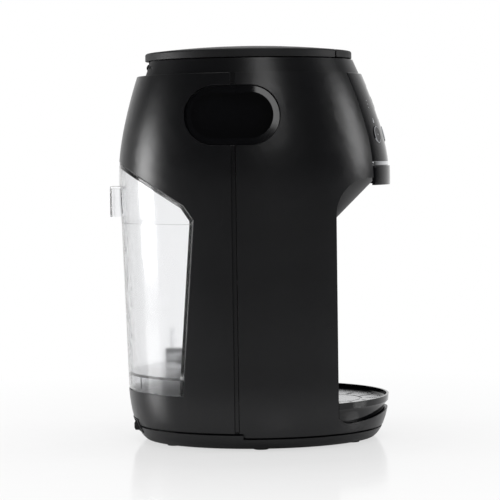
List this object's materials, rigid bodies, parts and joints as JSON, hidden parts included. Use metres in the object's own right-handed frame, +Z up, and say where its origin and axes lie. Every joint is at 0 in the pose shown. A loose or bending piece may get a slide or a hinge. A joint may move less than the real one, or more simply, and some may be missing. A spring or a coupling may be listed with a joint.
{
  "type": "baby formula maker",
  "caption": "Tall oval black countertop formula maker with a domed lid, sloped control panel, open bottle bay over a drip tray, side hand holds and a clear rear water tank.",
  "frame": {"origin": "on the floor under the middle of the machine", "axes": "+Z up, front faces -Y, +X to the machine's left seen from the front"},
  "size_m": [0.2214, 0.2656, 0.372],
  "materials": {
    "black_shell": "satin black moulded plastic",
    "black_lid": "satin black lid",
    "panel_gloss": "high gloss black",
    "screen": "dark glossy lens",
    "key_gloss": "gloss key cap",
    "chrome": "bright trim",
    "liner_black": "fine matt moulding",
    "clear_tank": "clear moulded plastic, light frost",
    "clear_lid": "clear moulded plastic",
    "white_plastic": "natural white plastic",
    "grey_plastic": "grey plastic",
    "funnel_grey": "dark grey funnel",
    "steel": "brushed steel",
    "rubber": "black rubber",
    "silicone": "translucent silicone",
    "circuit": "green circuit board",
    "brass": "plain",
    "zinc_steel": "zinc plated"
  },
  "bodies": {
    "housing": {"front_shell": "black_shell", "rear_shell": "black_shell", "base_pan": "black_shell", "rubber_feet": "rubber", "base_screws": "zinc_steel", "bay_liner": "liner_black", "tray_deck": "liner_black", "handle_cup_left": "liner_black", "handle_cup_right": "liner_black", "top_collar": "black_shell", "hinge_pin": "zinc_steel", "release_springs": "zinc_steel", "fascia": "panel_gloss", "display_window": "screen", "display_module": "grey_plastic", "control_board": "circuit", "chrome_trim": "chrome", "shaft_bush": "brass", "hopper": "grey_plastic", "dosing_plate": "white_plastic", "powder_chute": "white_plastic", "head_deck": "grey_plastic", "drive_motor": "zinc_steel", "water_nozzle": "white_plastic", "tank_bay_panel": "liner_black", "dock_spigot": "white_plastic", "dock_seal": "rubber", "pump": "grey_plastic", "pump_mounts": "rubber", "heater": "steel", "heater_stand": "white_plastic", "thermostat": "zinc_steel", "hose_to_pump": "silicone", "hose_to_heater": "silicone", "hose_to_nozzle": "silicone", "chassis_plate": "grey_plastic", "main_board": "circuit", "switch_plate": "liner_black", "switch_cradle": "grey_plastic", "power_inlet": "liner_black"},
    "lid": {"lid": "black_lid", "lid_liner": "grey_plastic", "lid_seal": "silicone"},
    "release_tab": {"lid_release_tab": "black_lid"},
    "tank": {"tank_body": "clear_tank", "tank_lid": "clear_lid", "tank_valve": "grey_plastic"},
    "float": {"tank_float": "white_plastic"},
    "funnel": {"mixing_funnel": "funnel_grey", "spout_guard": "panel_gloss"},
    "tray": {"drip_tray": "liner_black"},
    "grate": {"drip_grate": "steel"},
    "left_key": {"key_left": "key_gloss"},
    "start_key": {"key_start": "key_gloss"},
    "right_key": {"key_right": "key_gloss"},
    "rotor": {"dosing_wheel": "white_plastic", "rotor_shaft": "steel", "stirrer": "white_plastic"},
    "pinion": {"motor_pinion": "white_plastic"},
    "rocker": {"power_switch": "key_gloss"}
  },
  "joints": [
    {"name": "lid_hinge", "type": "hinge", "parent": "housing", "child": "lid", "pos_m": [0, 0.09198, 0.352], "axis": [-1, 0, 0], "range_deg": [0, 85]},
    {"name": "release_press", "type": "slide", "parent": "housing", "child": "release_tab", "axis": [0, 0, -1], "range_m": [0, 0.0012], "stiffness_N_per_m": 900, "springref_m": -0.0006, "deforming": ["release_springs"]},
    {"name": "tank_slide", "type": "slide", "parent": "housing", "child": "tank", "axis": [0, 1, 0], "range_m": [0, 0.12]},
    {"name": "float_rise", "type": "slide", "parent": "tank", "child": "float", "axis": [0, 0, 1], "range_m": [0, 0.018]},
    {"name": "funnel_slide", "type": "slide", "parent": "housing", "child": "funnel", "axis": [0, -1, 0], "range_m": [0, 0.11]},
    {"name": "tray_lift", "type": "slide", "parent": "housing", "child": "tray", "axis": [0, 0, 1], "range_m": [0, 0.04]},
    {"name": "grate_lift", "type": "slide", "parent": "tray", "child": "grate", "axis": [0, 0, 1], "range_m": [0, 0.03]},
    {"name": "rotor_spin", "type": "hinge", "parent": "housing", "child": "rotor", "pos_m": [0, -0.004, 0.27], "axis": [0, 0, 1], "continuous": true},
    {"name": "pinion_spin", "type": "hinge", "parent": "housing", "child": "pinion", "pos_m": [0.05976, 0.0305, 0.272], "axis": [0, 0, 1], "continuous": true},
    {"name": "rocker_tilt", "type": "hinge", "parent": "housing", "child": "rocker", "pos_m": [-0.015, 0.106, 0.0155], "axis": [1, 0, 0], "range_deg": [-6, 6]},
    {"name": "left_key_press", "type": "slide", "parent": "housing", "child": "left_key", "axis": [0.3821, 0.8951, -0.2299], "range_m": [0, 0.0008], "stiffness_N_per_m": 600, "springref_m": -0.0005},
    {"name": "start_key_press", "type": "slide", "parent": "housing", "child": "start_key", "axis": [-0.0001, 0.9701, -0.2428], "range_m": [0, 0.0008], "stiffness_N_per_m": 600, "springref_m": -0.0005},
    {"name": "right_key_press", "type": "slide", "parent": "housing", "child": "right_key", "axis": [-0.3822, 0.895, -0.2298], "range_m": [0, 0.0008], "stiffness_N_per_m": 600, "springref_m": -0.0005}
  ],
  "couplings": [
    {"joint": "pinion_spin", "follows": "rotor_spin", "ratio": -4.75}
  ]
}
